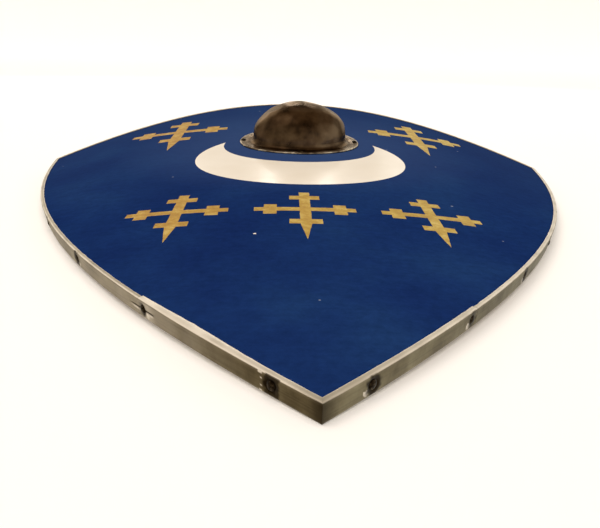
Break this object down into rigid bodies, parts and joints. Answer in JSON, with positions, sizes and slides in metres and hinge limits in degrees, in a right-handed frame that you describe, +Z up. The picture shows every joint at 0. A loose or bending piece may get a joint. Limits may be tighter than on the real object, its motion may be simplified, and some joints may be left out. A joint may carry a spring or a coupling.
{
  "type": "heater shield",
  "caption": "Curved wooden heater shield painted blue with gold crosses and a white crescent, bound in steel, with a domed boss and a grip bar.",
  "frame": {"origin": "middle of the bounding box on the surface that the shield lies on, face up", "axes": "+Y from the tip towards the top edge, +Z up through the boss, +X to the right seen from the tip"},
  "size_m": [0.652, 0.8554, 0.1016],
  "materials": {
    "painted_board": "satin blue paint over a plywood board",
    "binding_steel": "worn warm grey steel strip",
    "boss_steel": "dark oiled steel, smoothly polished dome",
    "fixing_steel": "blackened steel nail and rivet heads",
    "grip_wood": "oiled ash"
  },
  "bodies": {
    "root": {"board": "painted_board", "binding_lower_right": "binding_steel", "binding_lower_left": "binding_steel", "binding_upper_right": "binding_steel", "binding_upper_left": "binding_steel", "binding_top": "binding_steel", "boss": "boss_steel", "grip": "grip_wood", "boss_rivet_front": "fixing_steel", "boss_rivet_rear": "fixing_steel", "boss_rivet_left": "fixing_steel", "boss_rivet_right": "fixing_steel", "nail_left_1": "fixing_steel", "nail_left_2": "fixing_steel", "nail_left_3": "fixing_steel", "nail_left_4": "fixing_steel", "nail_left_5": "fixing_steel", "nail_left_6": "fixing_steel", "nail_right_1": "fixing_steel", "nail_right_2": "fixing_steel", "nail_right_3": "fixing_steel", "nail_right_4": "fixing_steel", "nail_right_5": "fixing_steel", "nail_right_6": "fixing_steel", "nail_right_7": "fixing_steel", "nail_top_right_1": "fixing_steel", "nail_top_right_2": "fixing_steel", "nail_top_right_3": "fixing_steel", "nail_top_left_1": "fixing_steel", "nail_top_left_2": "fixing_steel", "nail_top_left_3": "fixing_steel"}
  },
  "joints": []
}
